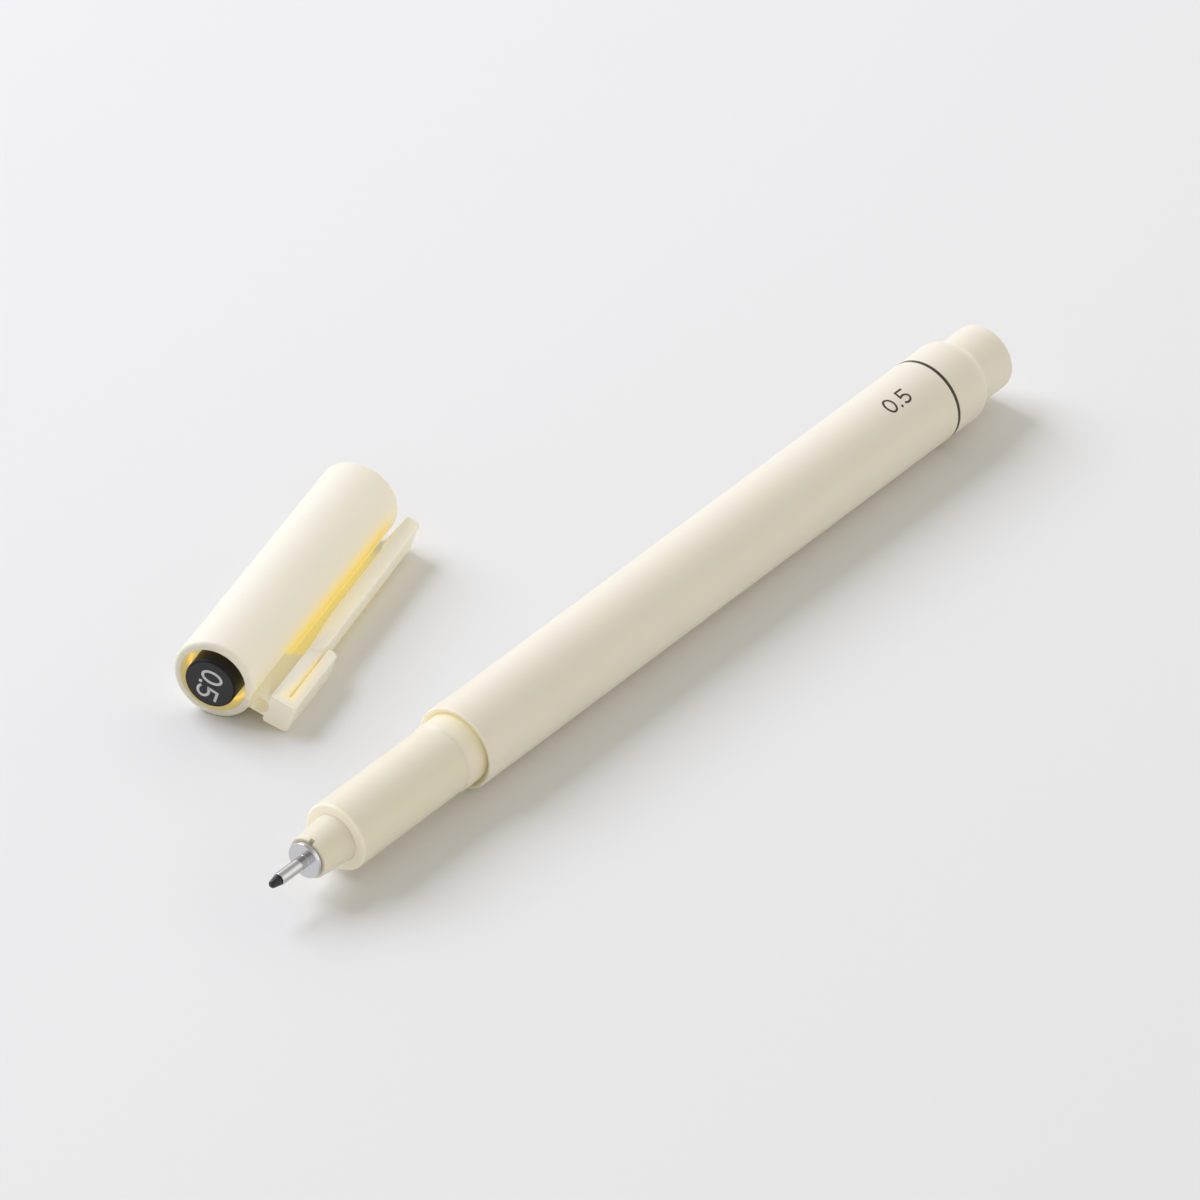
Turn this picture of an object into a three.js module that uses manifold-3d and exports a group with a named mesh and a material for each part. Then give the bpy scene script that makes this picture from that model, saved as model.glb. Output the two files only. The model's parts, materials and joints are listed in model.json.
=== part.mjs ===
// A felt-tip drawing pen lying uncapped on a table, with its cap lying beside it.
// Millimetres, +Z up, the table at z = 0. The cap's own axis runs along +X.
// Along the pen, places are measured from the tip of the nib towards the tail;
// along the cap, from its closed end towards its open end.

import * as THREE from 'three';
import { mergeVertices } from 'three/addons/utils/BufferGeometryUtils.js';
import Module from 'manifold-3d';

const wasm = await Module();
wasm.setup();

// Clearances
const slipFit = 0.05; // between pieces pushed or slid into each other, on the radius
const seatGap = 0.3; // between pieces that rest end to end
const weldDistance = 1e-4;

// Facets round a turned piece
const outerSides = 64;
const innerSides = 32;
const roundingSteps = 4;

// Nib: a fibre rod with a wider cone outside the pipe
const nibTipRadius = 0.4;
const nibHeadRadius = 0.66;
const nibHeadLength = 1.31;
const nibRodRadius = 0.45;
const nibDip = 7; // how far the rod reaches into the reservoir

// Steel pipe that carries the nib, with a flange seated on the nose
const pipeRadius = 0.75;
const pipeExposed = 3.63;
const pipeTail = 5.5; // behind the flange, inside the nose
const flangeRadius = 2.24;
const flangeThickness = 0.94;
const flangeSeat = 0.2; // between the flange and the front of the nose
const flangeRounding = 0.3;

// Front section: nose, neck, snap band and the spigot inside the barrel
const noseFrontRadius = 2.48;
const noseRearRadius = 2.84;
const noseLength = 4.69;
const noseChamfer = 0.15;
const neckRadius = 4.11;
const neckLength = 17.55;
const neckChamfer = 0.22;
const neckWall = 0.85;
const neckEndWall = 2.6; // solid plastic between the nose and the reservoir
const rampLength = 0.63;
const bandRadius = 4.24;
const bandLength = 2.27;
const spigotLength = 12;
const spigotChamfer = 0.4;
const ventWidth = 0.6; // air notch in the front edge of the nose
const ventDepth = 0.7;
const ventLength = 0.5;
const ventTurn = THREE.MathUtils.degToRad(3); // from straight up, towards the far side

// Barrel: a tapered tube
const barrelLength = 86.23;
const barrelFrontRadius = 5.04;
const barrelRearRadius = 5.2;
const barrelRimRounding = 0.25;
const mouthRadius = 4.55; // the bore opens to this round the snap band
const mouthDepth = 0.6;
const ribCount = 6; // ribs along the bore that hold the reservoir
const ribWidth = 0.7;
const ribInset = 3; // from the spigots at both ends

// Tail plug: flush collar, shoulder and the stud that the cap is pushed onto
const collarLength = 5.47;
const shoulderLength = 1.05;
const shoulderRounding = 0.5;
const studRadius = 4.22;
const studLength = 5.25;
const studRounding = 0.35;
const tailWall = 0.9;
const tailEndWall = 1.2;
const tailSpigotLength = 8;
const tailRibCount = 4; // ribs that stop the reservoir
const tailRibWidth = 0.8;
const tailRibInner = 1.1;

// Ink reservoir: a fibre bundle in a thin film
const coreRadius = 2.95;
const filmThickness = 0.1;
const filmEndInset = 0.4;

// Cap shell
const capRadius = 4.94;
const capLength = 38.46;
const capClosedRounding = 0.5;
const capOpenRounding = 0.25;
const capLipRadius = 4.05; // bore at the closed end, open round the plug for air
const capLipRounding = 0.15;
const capLipDepth = 5.5;
const plugCollarStart = 2;
const plugCollarLength = 3;
const plugCollarWall = 0.45;
const spokeCount = 3;
const spokeWidth = 0.9;

// Cap plug: the black marker in the closed end
const plugRadius = 3.06;
const plugStandProud = 0.8;
const plugRounding = 0.25;

// Inner cap: the cup that seals over the nose
const innerCapWall = 0.6;
const innerCapEndWall = 0.8;
const innerCapRadialRoom = 0.29; // from the wide end of the nose to the cup's bore
const innerCapMouthGap = 0.4; // from the mouth to the neck's face when capped
const innerCapFlangeThickness = 0.8;
const innerCapNotchCount = 3;
const innerCapNotchWidth = 1.6;

// Clip: web, root block and thumb tab are part of the shell, and the arm flexes
const clipWidth = 3.75;
const clipReach = 9.77; // from the cap's axis to the outside of the block
const clipInset = 0.35; // of the web's and block's end faces from the cap's closed end
const clipBlockLength = 1.25;
const clipUnderside = 6.65; // radius of the bar's inner face at its root
const clipRootThickness = 1.57;
const clipRootLength = 10.5;
const clipSlit = 0.36; // between the bar and the tab
const tabLength = 11.7;
const tabRounding = 0.55;
const webWidth = 2.4;
const webShellLength = 8.3;
const webBarLength = 10.4;
const webSink = 0.3; // how deep the web's foot is moulded into the shell's wall
const dimpleRadius = 0.97;
const dimpleHeight = 6; // radius of its centre from the cap's axis
const dimpleDepth = 2.2;
const armLength = 26.86;
const armRootUnderside = 6.3;
const armTipUnderside = 6.14;
const armRootThickness = 1.9;
const armTipThickness = 1.78;
const armTipRounding = 0.35;
const armBumpFromTip = 5.1;
const armBumpHeight = 0.4;
const armBumpHalfLength = 1;

// How the two lie on the table
const penTurn = THREE.MathUtils.degToRad(-14.91); // the pen's axis against the cap's
const capPlace = new THREE.Vector2(-37.34, 30.54); // the closed end's centre
const penTailPlace = new THREE.Vector2(44.957, -21.51); // the pen's axis where the barrel ends

// Places that follow from the sizes above
const flangeFace = nibHeadLength + pipeExposed;
const noseFace = flangeFace + flangeThickness + flangeSeat;
const neckFace = noseFace + noseLength;
const rampStart = neckFace + neckLength;
const bandStart = rampStart + rampLength;
const barrelFace = bandStart + bandLength;
const barrelEnd = barrelFace + barrelLength;
const shoulderStart = barrelEnd + collarLength;
const studStart = shoulderStart + shoulderLength;
const penEnd = studStart + studLength;
const spigotEnd = barrelFace + spigotLength;
const tailSpigotStart = barrelEnd - tailSpigotLength;
const pipeBore = nibRodRadius + slipFit;
const barrelBore = bandRadius + slipFit;
const filmRadius = coreRadius + slipFit + filmThickness;
const chamberRadius = neckRadius - neckWall;
const reservoirStart = neckFace + neckEndWall + seatGap;
const reservoirEnd = tailSpigotStart + seatGap;
const capBore = bandRadius + slipFit;
const cappedTip = capLength - barrelFace; // where the nib's tip comes to inside the cap
const cappedNeckFace = cappedTip + neckFace;
const innerCapBore = noseRearRadius + innerCapRadialRoom;
const innerCapRadius = innerCapBore + innerCapWall;
const innerCapStart = capLipDepth + slipFit;
const innerCapEnd = cappedNeckFace - innerCapMouthGap;
const plugEnd = innerCapStart - seatGap;
const clipRootTop = clipUnderside + clipRootThickness;
const armStart = clipRootLength + seatGap;
const armEnd = armStart + armLength;
const barrelTaper = Math.atan2(barrelRearRadius - barrelFrontRadius, barrelLength);

// The cap rolls until the outer corner of the clip's block meets the table
const clipHang = Math.asin(capRadius / Math.hypot(clipReach, clipWidth / 2))
  - Math.atan2(clipWidth / 2, clipReach);

// Solid from a closed geometry, with its shared corners merged
function solid(geometry) {
  geometry.deleteAttribute('normal');
  geometry.deleteAttribute('uv');
  const merged = mergeVertices(geometry, weldDistance);
  const corners = merged.index.array;
  const triangles = [];
  for (let i = 0; i < corners.length; i += 3) {
    const [a, b, c] = [corners[i], corners[i + 1], corners[i + 2]];
    if (a !== b && b !== c && c !== a) triangles.push(a, b, c);
  }
  return new wasm.Manifold(new wasm.Mesh({
    numProp: 3,
    vertProperties: new Float32Array(merged.attributes.position.array),
    triVerts: new Uint32Array(triangles),
  }));
}

// Named mesh from a solid, with a plain material
function piece(name, body, { colour, roughness, metalness = 0 }) {
  const { vertProperties, triVerts } = body.getMesh();
  const geometry = new THREE.BufferGeometry();
  geometry.setAttribute('position', new THREE.BufferAttribute(vertProperties, 3));
  geometry.setIndex(new THREE.BufferAttribute(triVerts, 1));
  geometry.computeVertexNormals();
  const mesh = new THREE.Mesh(geometry, new THREE.MeshStandardMaterial({ color: colour, roughness, metalness }));
  mesh.name = name;
  return mesh;
}

// Solid of revolution about X from [place, radius] pairs; a facet edge points straight down
function turned(profile, sides) {
  const points = profile.map(([place, radius]) => new THREE.Vector2(radius, place));
  const geometry = new THREE.LatheGeometry(points, sides);
  geometry.rotateZ(-Math.PI / 2);
  return solid(geometry);
}

// Quarter round between two directions, given in degrees from the axis
function rounding(place, radius, size, from, to) {
  return Array.from({ length: roundingSteps + 1 }, (_, step) => {
    const angle = THREE.MathUtils.degToRad(from + (to - from) * step / roundingSteps);
    return [place + size * Math.cos(angle), radius + size * Math.sin(angle)];
  });
}

// Straight bar across the axis: from one place to another, between two radii, of a width
function finBetween(start, end, inner, outer, width) {
  const geometry = new THREE.BoxGeometry(end - start, width, outer - inner);
  geometry.translate((start + end) / 2, 0, (inner + outer) / 2);
  return solid(geometry);
}

// The same bar repeated evenly round the X axis
function roundTheAxis(body, count, firstTurn = 0) {
  const copies = Array.from({ length: count }, (_, i) => body.rotate([firstTurn + i * 360 / count, 0, 0]));
  return copies.reduce((all, copy) => all.add(copy));
}

// Flat outline of [place, radius] pairs given a width across the clip
function clipSlab(outline, width) {
  const shape = new THREE.Shape(outline.map(([place, radius]) => new THREE.Vector2(place, radius)));
  const geometry = new THREE.ExtrudeGeometry(shape, { depth: width, bevelEnabled: false });
  geometry.translate(0, 0, -width / 2);
  geometry.rotateX(Math.PI / 2);
  return solid(geometry);
}

const cream = { colour: 0xefe6cf, roughness: 0.45 };
const creamCap = { colour: 0xf0e6c8, roughness: 0.45 };
const steel = { colour: 0xb9bcc0, roughness: 0.25, metalness: 1 };
const black = { colour: 0x19191b, roughness: 0.5 };
const ink = { colour: 0x101013, roughness: 0.85 };
const fibre = { colour: 0x2a2a33, roughness: 0.95 };
const film = { colour: 0xdfe3e6, roughness: 0.2 };
const innerPlastic = { colour: 0xf4f0e4, roughness: 0.5 };

function makeNib() {
  return piece('nib', turned([
    [0, 0],
    ...rounding(nibTipRadius, 0, nibTipRadius, 180, 110).slice(1),
    [nibHeadLength, nibHeadRadius],
    [nibHeadLength, nibRodRadius],
    [reservoirStart + nibDip, nibRodRadius],
    [reservoirStart + nibDip, 0],
  ], innerSides), ink);
}

function makeNibPipe() {
  const start = nibHeadLength + slipFit;
  const end = flangeFace + flangeThickness + pipeTail;
  return piece('nib_pipe', turned([
    [start, pipeBore],
    [start, pipeRadius],
    [flangeFace, pipeRadius],
    ...rounding(flangeFace + flangeRounding, flangeRadius - flangeRounding, flangeRounding, 180, 90),
    [flangeFace + flangeThickness, flangeRadius],
    [flangeFace + flangeThickness, pipeRadius],
    [end, pipeRadius],
    [end, pipeBore],
    [start, pipeBore],
  ], innerSides), steel);
}

function makeFrontSection() {
  const noseBore = pipeRadius + slipFit;
  const body = turned([
    [noseFace, noseBore],
    [noseFace, noseFrontRadius - noseChamfer],
    [noseFace + noseChamfer, noseFrontRadius],
    [neckFace, noseRearRadius],
    [neckFace, neckRadius - neckChamfer],
    [neckFace + neckChamfer, neckRadius],
    [rampStart, neckRadius],
    [bandStart, bandRadius],
    [spigotEnd - spigotChamfer, bandRadius],
    [spigotEnd, bandRadius - spigotChamfer],
    [spigotEnd, chamberRadius],
    [neckFace + neckEndWall, chamberRadius],
    [neckFace + neckEndWall, noseBore],
    [noseFace, noseBore],
  ], outerSides);
  const notch = finBetween(
    noseFace - 1, noseFace + ventLength, noseFrontRadius - ventDepth, noseFrontRadius + 1, ventWidth,
  ).rotate([THREE.MathUtils.radToDeg(ventTurn), 0, 0]);
  return piece('front_section', body.subtract(notch), cream);
}

function makeBarrel() {
  const tube = turned([
    [barrelFace, mouthRadius],
    ...rounding(barrelFace + barrelRimRounding, barrelFrontRadius - barrelRimRounding, barrelRimRounding, 180, 90),
    [barrelEnd, barrelRearRadius],
    [barrelEnd, barrelBore],
    [barrelFace + mouthDepth, barrelBore],
    [barrelFace, mouthRadius],
  ], outerSides);
  const middle = (barrelBore + barrelFrontRadius) / 2;
  const rib = finBetween(
    spigotEnd + ribInset, tailSpigotStart - ribInset, filmRadius + slipFit, middle, ribWidth,
  );
  return piece('barrel', tube.add(roundTheAxis(rib, ribCount)), cream);
}

function makeTailPlug() {
  const bore = barrelBore - slipFit - tailWall;
  const collarStart = barrelEnd + slipFit;
  const shell = turned([
    [tailSpigotStart, bore],
    [tailSpigotStart, bandRadius - spigotChamfer],
    [tailSpigotStart + spigotChamfer, bandRadius],
    [collarStart, bandRadius],
    [collarStart, barrelRearRadius],
    ...rounding(shoulderStart, barrelRearRadius - shoulderRounding, shoulderRounding, 90, 30),
    [studStart, studRadius],
    ...rounding(penEnd - studRounding, studRadius - studRounding, studRounding, 90, 0),
    [penEnd, 0],
    [penEnd - tailEndWall, 0],
    [penEnd - tailEndWall, bore],
    [tailSpigotStart, bore],
  ], outerSides);
  const rib = finBetween(
    reservoirEnd + seatGap, penEnd - tailEndWall / 2, tailRibInner, bore + tailWall / 2, tailRibWidth,
  );
  return piece('tail_plug', shell.add(roundTheAxis(rib, tailRibCount)), cream);
}

function makeReservoirCore() {
  const nibHole = nibRodRadius + slipFit;
  const nibHoleEnd = reservoirStart + nibDip + seatGap;
  return piece('reservoir_core', turned([
    [reservoirStart, nibHole],
    [reservoirStart, coreRadius],
    [reservoirEnd, coreRadius],
    [reservoirEnd, 0],
    [nibHoleEnd, 0],
    [nibHoleEnd, nibHole],
    [reservoirStart, nibHole],
  ], innerSides), fibre);
}

function makeReservoirFilm() {
  const start = reservoirStart + filmEndInset;
  const end = reservoirEnd - filmEndInset;
  return piece('reservoir_film', turned([
    [start, coreRadius + slipFit],
    [start, filmRadius],
    [end, filmRadius],
    [end, coreRadius + slipFit],
    [start, coreRadius + slipFit],
  ], innerSides), film);
}

// Clip parts are built over the top of the cap and then swung down to where they lie
function swingClip(body) {
  return body.rotate([90 + THREE.MathUtils.radToDeg(clipHang), 0, 0]);
}

function makeCapShell() {
  const tube = turned([
    ...rounding(capClosedRounding, capRadius - capClosedRounding, capClosedRounding, 180, 90),
    ...rounding(capLength - capOpenRounding, capRadius - capOpenRounding, capOpenRounding, 90, 0),
    [capLength, capBore],
    [capLipDepth, capBore],
    [capLipDepth, capLipRadius],
    ...rounding(capLipRounding, capLipRadius + capLipRounding, capLipRounding, 270, 180),
    [0, capRadius - capClosedRounding],
  ], outerSides);

  const collarBore = plugRadius + slipFit;
  const collarEnd = plugCollarStart + plugCollarLength;
  const collar = turned([
    [plugCollarStart, collarBore],
    [plugCollarStart, collarBore + plugCollarWall],
    [collarEnd, collarBore + plugCollarWall],
    [collarEnd, collarBore],
    [plugCollarStart, collarBore],
  ], outerSides);
  const spoke = finBetween(
    plugCollarStart, collarEnd, collarBore + plugCollarWall / 2, (capLipRadius + capRadius) / 2, spokeWidth,
  );

  const web = clipSlab([
    [clipInset, capRadius - webSink],
    [webShellLength, capRadius - webSink],
    [webShellLength, capRadius],
    [webBarLength, clipUnderside],
    [webBarLength, clipUnderside + clipRootThickness / 2],
    [clipInset, clipUnderside + clipRootThickness / 2],
  ], webWidth);
  const block = clipSlab([
    [clipInset, clipUnderside],
    [clipRootLength, clipUnderside],
    [clipRootLength, clipRootTop],
    [clipInset + clipBlockLength, clipRootTop],
    [clipInset + clipBlockLength, clipRootTop + clipSlit],
    [tabLength, clipRootTop + clipSlit],
    ...rounding(tabLength - tabRounding, clipReach - tabRounding, tabRounding, 0, 90),
    [clipInset, clipReach],
  ], clipWidth);
  const dimple = turned([
    [-1, 0],
    [-1, dimpleRadius],
    [clipInset + dimpleDepth, dimpleRadius],
    [clipInset + dimpleDepth, 0],
  ], innerSides).translate([0, 0, dimpleHeight]);

  const body = tube
    .add(collar)
    .add(roundTheAxis(spoke, spokeCount, 180))
    .add(swingClip(web.add(block).subtract(dimple)));
  return piece('cap_shell', body, creamCap);
}

function makeClipArm() {
  const bump = armEnd - armBumpFromTip;
  const slope = (armTipUnderside - armRootUnderside) / armLength;
  const underside = (place) => armRootUnderside + slope * (place - armStart);
  const body = clipSlab([
    [armStart, armRootUnderside],
    [bump - armBumpHalfLength, underside(bump - armBumpHalfLength)],
    [bump, underside(bump) - armBumpHeight],
    [bump + armBumpHalfLength, underside(bump + armBumpHalfLength)],
    [armEnd, armTipUnderside],
    ...rounding(
      armEnd - armTipRounding, armTipUnderside + armTipThickness - armTipRounding, armTipRounding, 0, 90,
    ),
    [armStart, armRootUnderside + armRootThickness],
  ], clipWidth);
  return piece('clip_arm', swingClip(body), creamCap);
}

function makeInnerCap() {
  const cup = turned([
    [innerCapStart, 0],
    [innerCapStart, capBore - slipFit],
    [innerCapStart + innerCapFlangeThickness, capBore - slipFit],
    [innerCapStart + innerCapFlangeThickness, innerCapRadius],
    [innerCapEnd, innerCapRadius],
    [innerCapEnd, innerCapBore],
    [innerCapStart + innerCapEndWall, innerCapBore],
    [innerCapStart + innerCapEndWall, 0],
  ], outerSides);
  const notch = finBetween(
    innerCapStart - 1, innerCapStart + innerCapFlangeThickness + 1, innerCapRadius, capRadius, innerCapNotchWidth,
  );
  return piece('inner_cap', cup.subtract(roundTheAxis(notch, innerCapNotchCount)), innerPlastic);
}

function makeCapPlug() {
  return piece('cap_plug', turned([
    [-plugStandProud, 0],
    ...rounding(-plugStandProud + plugRounding, plugRadius - plugRounding, plugRounding, 180, 90),
    [plugEnd, plugRadius],
    [plugEnd, 0],
  ], outerSides), black);
}

// The pen rests on the whole underside of its tapered barrel
const pen = new THREE.Group();
pen.add(
  makeNib(), makeNibPipe(), makeFrontSection(), makeBarrel(), makeTailPlug(),
  makeReservoirCore(), makeReservoirFilm(),
);
pen.rotation.set(0, -barrelTaper, penTurn, 'ZYX');
pen.position.set(
  penTailPlace.x - barrelEnd * Math.cos(barrelTaper) * Math.cos(penTurn),
  penTailPlace.y - barrelEnd * Math.cos(barrelTaper) * Math.sin(penTurn),
  barrelRearRadius * Math.cos(barrelTaper) - barrelEnd * Math.sin(barrelTaper),
);

const cap = new THREE.Group();
cap.add(makeCapShell(), makeClipArm(), makeInnerCap(), makeCapPlug());
cap.position.set(capPlace.x, capPlace.y, capRadius);

// The origin is on the table, under the middle of everything
const model = new THREE.Group();
model.add(pen, cap);
model.updateMatrixWorld(true);
const reach = new THREE.Box3().setFromObject(model, true);
const middle = reach.getCenter(new THREE.Vector3());
model.position.set(-middle.x, -middle.y, -reach.min.z);

export default model;
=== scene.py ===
# A felt-tip drawing pen lies uncapped on a pale table, with its cap beside it.
import json
import math

import bmesh
import bpy
from mathutils import Matrix, Vector


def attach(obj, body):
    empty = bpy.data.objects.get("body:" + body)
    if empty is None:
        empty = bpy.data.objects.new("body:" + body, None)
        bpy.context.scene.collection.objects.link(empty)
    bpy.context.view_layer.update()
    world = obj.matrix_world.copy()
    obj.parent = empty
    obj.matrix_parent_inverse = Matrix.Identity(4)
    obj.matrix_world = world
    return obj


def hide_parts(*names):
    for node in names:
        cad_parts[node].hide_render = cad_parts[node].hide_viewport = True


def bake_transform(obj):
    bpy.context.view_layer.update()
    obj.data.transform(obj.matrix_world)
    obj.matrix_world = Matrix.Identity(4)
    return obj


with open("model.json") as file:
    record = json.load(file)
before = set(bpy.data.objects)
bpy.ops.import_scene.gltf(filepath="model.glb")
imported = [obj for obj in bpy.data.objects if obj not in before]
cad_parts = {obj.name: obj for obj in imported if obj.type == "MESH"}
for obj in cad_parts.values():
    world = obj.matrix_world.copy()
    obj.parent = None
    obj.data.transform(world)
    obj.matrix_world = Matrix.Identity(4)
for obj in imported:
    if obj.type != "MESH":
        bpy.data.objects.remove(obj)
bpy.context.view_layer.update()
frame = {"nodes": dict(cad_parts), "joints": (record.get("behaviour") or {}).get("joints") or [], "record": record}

MM = 0.001


# Camera: a long lens in front of the table, looking down at the pen and cap from the side of
# the nib. It aims at the place that lies in the middle of the picture, measured from the cap.
mounts = {mount["name"]: mount for mount in frame["record"]["mounts"]}
plug_face = Vector(mounts["cap_plug_face"]["pos_m"])
aim_from_plug = Vector((38.148, -30.475, -4.894)) * MM
aim = plug_face + aim_from_plug
view_turn = math.radians(-66.54)
view_height = math.radians(35.54)
view_distance = 905.9 * MM
towards_camera = Vector((
    math.sin(view_turn) * math.cos(view_height),
    -math.cos(view_turn) * math.cos(view_height),
    math.sin(view_height),
))
camera = bpy.data.objects.new("camera", bpy.data.cameras.new("camera"))
bpy.context.scene.collection.objects.link(camera)
camera.data.lens = 240
camera.data.sensor_width = 36
camera.data.clip_start = 0.01
camera.data.clip_end = 20
camera.location = aim + towards_camera * view_distance
camera.rotation_mode = "QUATERNION"
camera.rotation_quaternion = (-towards_camera).to_track_quat("-Z", "Y")
bpy.context.scene.camera = camera


# Table: a matt white sheet, much larger than the picture. The light is one soft cool window
# beyond the cap, and a pale warm room that is darker overhead and in front of the nib.
def add_node(tree, kind, settings=None, **inputs):
    """Node of a kind with its settings, and its inputs set or linked by their names or numbers."""
    new = tree.nodes.new(kind)
    for key, value in (settings or {}).items():
        setattr(new, key, value)
    for key, value in inputs.items():
        name = key.replace("_", " ")
        socket = new.inputs[int(name[1:])] if name[0] == "n" and name[1:].isdigit() else new.inputs[name]
        if isinstance(value, bpy.types.NodeSocket):
            tree.links.new(value, socket)
        else:
            socket.default_value = value
    return new


def plain_material(name, colour, roughness, **sockets):
    """Material with a principled shader, whose even values sit on the shader's own sockets."""
    material = bpy.data.materials.new(name)
    material.use_nodes = True
    shader = material.node_tree.nodes["Principled BSDF"]
    shader.inputs["Base Color"].default_value = (*colour, 1)
    shader.inputs["Roughness"].default_value = roughness
    for key, value in sockets.items():
        shader.inputs[key.replace("_", " ")].default_value = value
    return material, material.node_tree, shader


def object_noise(tree, scale, **inputs):
    """Noise on the object's own coordinates."""
    place = add_node(tree, "ShaderNodeTexCoord")
    return add_node(
        tree, "ShaderNodeTexNoise", Vector=place.outputs["Object"], Scale=scale, **inputs,
    ).outputs["Fac"]


def add_bumps(tree, shader, height, strength, distance):
    """Fine bumps in a shader's surface, from a noise."""
    bump = add_node(tree, "ShaderNodeBump", Strength=strength, Distance=distance, Height=height)
    tree.links.new(bump.outputs["Normal"], shader.inputs["Normal"])


def two_tone(tree, value, first, second, span=(0.0, 1.0)):
    """Colour that goes from a first to a second one while a value goes over a span."""
    ramp = add_node(tree, "ShaderNodeValToRGB", Fac=value)
    for number, colour in enumerate((first, second)):
        ramp.color_ramp.elements[number].position = span[number]
        ramp.color_ramp.elements[number].color = (*colour, 1)
    return ramp.outputs["Color"]


def mixed_colour(tree, share, first, second, blend="MIX"):
    """Mix of two colours. Sockets 0, 6 and 7 are the share and the colours of the mix node."""
    return add_node(
        tree, "ShaderNodeMix", {"data_type": "RGBA", "blend_type": blend}, n0=share, n6=first, n7=second,
    ).outputs[2]


table_half = 2.5
table_mesh = bpy.data.meshes.new("table")
table_mesh.from_pydata(
    [(x * table_half, y * table_half, 0) for x, y in ((-1, -1), (1, -1), (1, 1), (-1, 1))],
    [], [(0, 1, 2, 3)],
)
table = bpy.data.objects.new("table", table_mesh)
bpy.context.scene.collection.objects.link(table)
paper, paper_tree, paper_shader = plain_material("table_paper", (0.80, 0.80, 0.775), 0.9)
paper_grain = object_noise(paper_tree, 900.0, Detail=3.0)
add_bumps(paper_tree, paper_shader, paper_grain, strength=0.12, distance=0.0002)
table_mesh.materials.append(paper)

window_turn = math.radians(78)
window_height = math.radians(42)
window_distance = 1.4
towards_window = Vector((
    math.cos(window_turn) * math.cos(window_height),
    math.sin(window_turn) * math.cos(window_height),
    math.sin(window_height),
))
window_light = bpy.data.lights.new("window", "AREA")
window_light.shape = "SQUARE"
window_light.size = 0.9
window_light.energy = 13.2
window_light.color = (0.95, 1.0, 1.2)
window = bpy.data.objects.new("window", window_light)
bpy.context.scene.collection.objects.link(window)
window.location = towards_window * window_distance
window.rotation_mode = "QUATERNION"
window.rotation_quaternion = towards_window.to_track_quat("Z", "Y")

towards_dark_side = (-0.966, 0.257, 0.0)
room = bpy.data.worlds.new("room")
bpy.context.scene.world = room
room.use_nodes = True
room_tree = room.node_tree
room_way = add_node(room_tree, "ShaderNodeTexCoord").outputs["Generated"]
room_side = add_node(
    room_tree, "ShaderNodeVectorMath", {"operation": "DOT_PRODUCT"}, n0=room_way, n1=towards_dark_side,
)
room_shade = two_tone(
    room_tree, room_side.outputs["Value"], (1, 0.96, 0.915), (0.52, 0.50, 0.46), span=(0.1, 0.75),
)
room_height = add_node(room_tree, "ShaderNodeSeparateXYZ", Vector=room_way)
room_ceiling = add_node(
    room_tree, "ShaderNodeMapRange", {"interpolation_type": "SMOOTHSTEP"}, Value=room_height.outputs["Z"],
    From_Min=0.45, From_Max=0.85, To_Min=1.0, To_Max=0.4,
)
room_light = mixed_colour(room_tree, 1.0, room_shade, room_ceiling.outputs["Result"], "MULTIPLY")
room_tree.links.new(room_light, room_tree.nodes["Background"].inputs["Color"])
room_tree.nodes["Background"].inputs["Strength"].default_value = 1.14
bpy.context.scene.view_settings.view_transform = "Standard"


# Nib: a rod of bonded fibre soaked in black ink, ground to a cone in front of the pipe. Behind
# it the rod runs on through the pipe into the reservoir. It is pushed in from the front.
pen_tail = Vector(mounts["pen_tail_end"]["pos_m"])
pen_axis = Vector(mounts["pen_tail_end"]["axis"]).normalized()
PEN_LENGTH = 129.22
pen_side = Vector((0, 0, 1)).cross(pen_axis).normalized()
pen_up = pen_axis.cross(pen_side)
pen_place = Matrix((pen_axis, pen_side, pen_up)).transposed().to_4x4()
pen_place.translation = pen_tail - pen_axis * PEN_LENGTH * MM
pen_place = pen_place @ Matrix.Scale(MM, 4)
SHARP_EDGE = math.radians(35)
SAME_POINT = 1e-4


def set_input(modifier, name, value):
    """Sets a geometry nodes input by the identifier of the socket that has this name."""
    for item in modifier.node_group.interface.items_tree:
        if item.item_type == "SOCKET" and item.in_out == "INPUT" and item.name == name:
            modifier[item.identifier] = value


def new_tree(name, sockets):
    """Geometry nodes tree with named inputs, a geometry in and a geometry out."""
    tree = bpy.data.node_groups.new(name, "GeometryNodeTree")
    tree.is_modifier = True
    tree.interface.new_socket("Outline", in_out="INPUT", socket_type="NodeSocketGeometry")
    for socket, kind in sockets.items():
        tree.interface.new_socket(socket, in_out="INPUT", socket_type=kind)
    tree.interface.new_socket("Piece", in_out="OUTPUT", socket_type="NodeSocketGeometry")
    return tree, tree.nodes.new("NodeGroupInput"), tree.nodes.new("NodeGroupOutput")


def sums(tree, operation, first, second=0):
    """Result of a math node on numbers or links."""
    return add_node(tree, "ShaderNodeMath", {"operation": operation}, n0=first, n1=second).outputs[0]


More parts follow.
